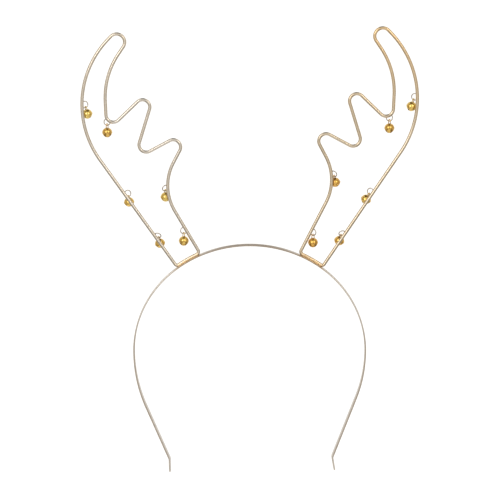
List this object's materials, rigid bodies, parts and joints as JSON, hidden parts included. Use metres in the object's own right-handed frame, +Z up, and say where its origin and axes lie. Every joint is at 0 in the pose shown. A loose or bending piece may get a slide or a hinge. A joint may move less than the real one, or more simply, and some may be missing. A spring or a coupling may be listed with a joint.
{
  "type": "reindeer antler headband",
  "caption": "Sprung metal headband with a pair of bent-wire reindeer antlers soldered on top and small jingle bells hung on rings behind the wire.",
  "frame": {"origin": "middle of the strip's inner face at the top of the head, where the headband sits", "axes": "+X to the right seen from the front, +Y to the back of the head, +Z up"},
  "size_m": [0.201, 0.0101, 0.2703],
  "materials": {
    "champagne_plate": "bright champagne gold plating on steel wire and strip",
    "bell_brass": "polished yellow gold",
    "pellet_steel": "plain bright steel"
  },
  "bodies": {
    "root": {"frame": "champagne_plate", "bell_left_1": "bell_brass", "bell_left_2": "bell_brass", "bell_left_3": "bell_brass", "bell_left_4": "bell_brass", "bell_left_5": "bell_brass", "bell_left_6": "bell_brass", "bell_right_1": "bell_brass", "bell_right_2": "bell_brass", "bell_right_3": "bell_brass", "bell_right_4": "bell_brass", "bell_right_5": "bell_brass", "bell_right_6": "bell_brass", "pellet_left_1": "pellet_steel", "pellet_left_2": "pellet_steel", "pellet_left_3": "pellet_steel", "pellet_left_4": "pellet_steel", "pellet_left_5": "pellet_steel", "pellet_left_6": "pellet_steel", "pellet_right_1": "pellet_steel", "pellet_right_2": "pellet_steel", "pellet_right_3": "pellet_steel", "pellet_right_4": "pellet_steel", "pellet_right_5": "pellet_steel", "pellet_right_6": "pellet_steel"}
  },
  "joints": []
}
